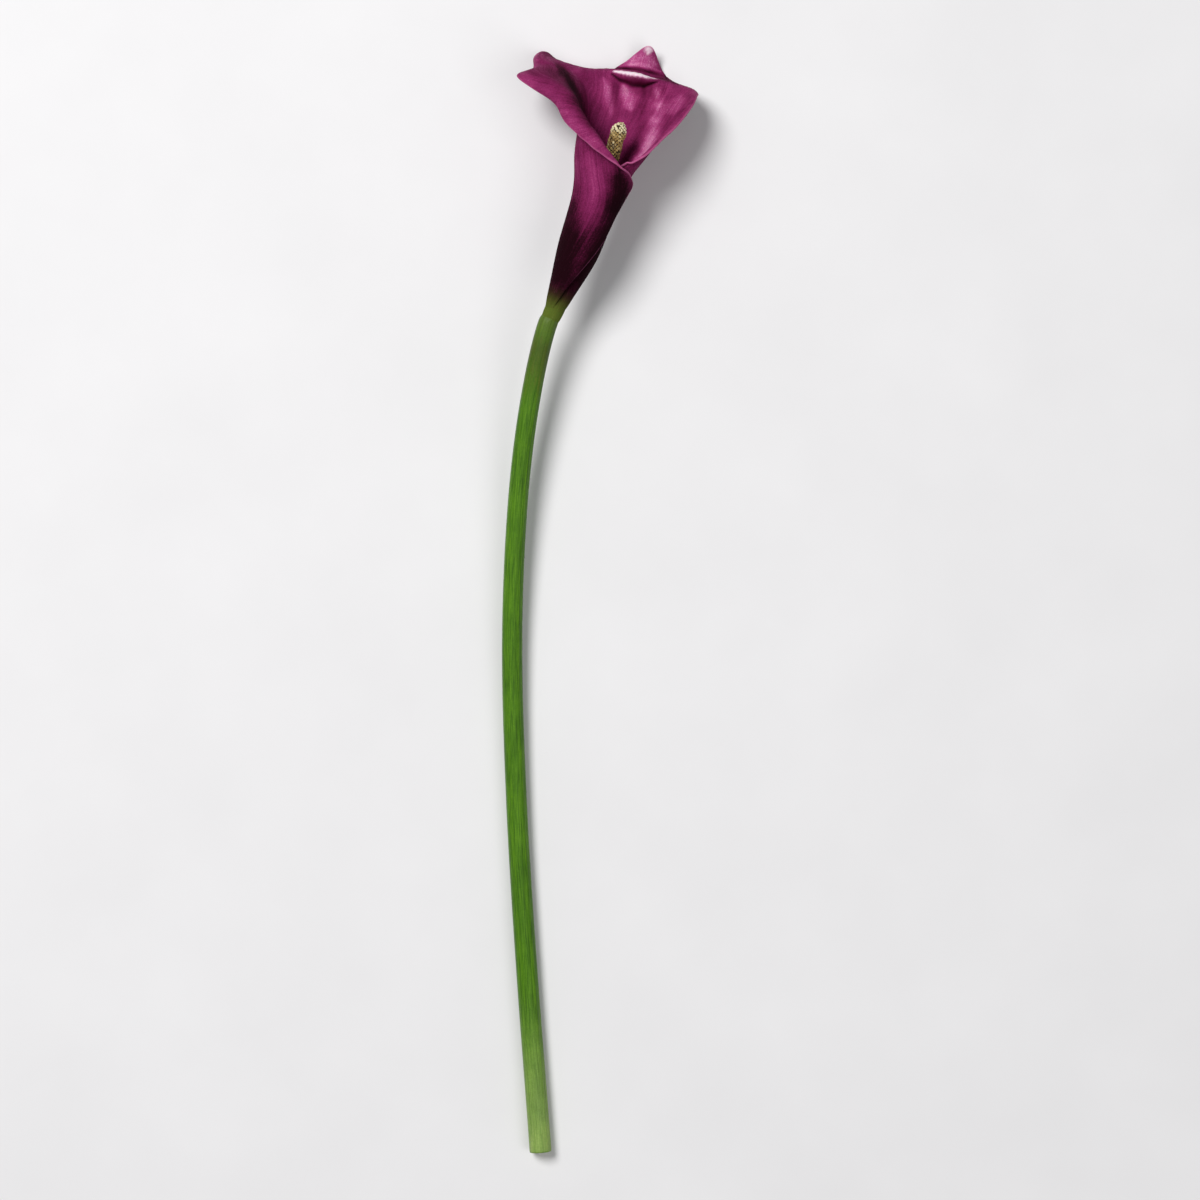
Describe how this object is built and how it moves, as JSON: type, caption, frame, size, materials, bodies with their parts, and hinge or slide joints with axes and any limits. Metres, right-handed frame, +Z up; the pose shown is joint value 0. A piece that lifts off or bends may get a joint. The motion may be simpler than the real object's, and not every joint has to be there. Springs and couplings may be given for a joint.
{
  "type": "calla lily flower",
  "caption": "Picked calla lily flower lying on its back: a rolled funnel-shaped spathe with a flared, lapped mouth, a knobbly spadix inside it and a long bare stalk.",
  "frame": {"origin": "on the surface the flower lies on, under the middle of its bounding box", "axes": "+Z up from the surface, out of the flower's open mouth; +Y along the flower from the cut end of the stalk to the bloom; +X to the right, seen from above with the bloom at the top"},
  "size_m": [0.0604, 0.3408, 0.0354],
  "materials": {
    "stalk_green": "satin",
    "spathe_purple": "satin",
    "pistil_green": "satin",
    "stamen_tan": "matte"
  },
  "bodies": {
    "root": {"scape": "stalk_green", "spathe": "spathe_purple", "pistils": "pistil_green", "stamens": "stamen_tan"}
  },
  "joints": []
}
